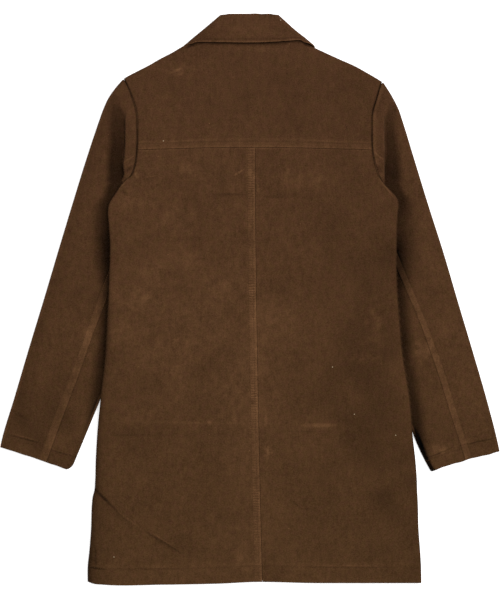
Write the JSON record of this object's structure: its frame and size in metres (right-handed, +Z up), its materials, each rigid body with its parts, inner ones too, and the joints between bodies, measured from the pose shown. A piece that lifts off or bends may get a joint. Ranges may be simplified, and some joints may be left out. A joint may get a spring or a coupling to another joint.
{
  "type": "longline faux suede jacket, laid flat with its back up",
  "caption": "Straight longline jacket in brown faux suede with a back yoke, centre back seam, turn-down collar and two-piece sleeves, laid flat with its back up.",
  "frame": {"origin": "centre of the laid jacket's plan box, on the surface it lies on", "axes": "+X to the wearer's right, +Y from hem to collar, +Z up off the surface, out of the jacket's back"},
  "size_m": [0.7992, 0.9115, 0.0146],
  "materials": {
    "suede": "matt brushed brown faux suede with a short nap"
  },
  "bodies": {
    "root": {"back_yoke": "suede", "back_left": "suede", "back_right": "suede", "front_left": "suede", "front_right": "suede", "collar": "suede", "sleeve_left_top": "suede", "sleeve_left_under": "suede", "sleeve_right_top": "suede", "sleeve_right_under": "suede"}
  },
  "joints": []
}
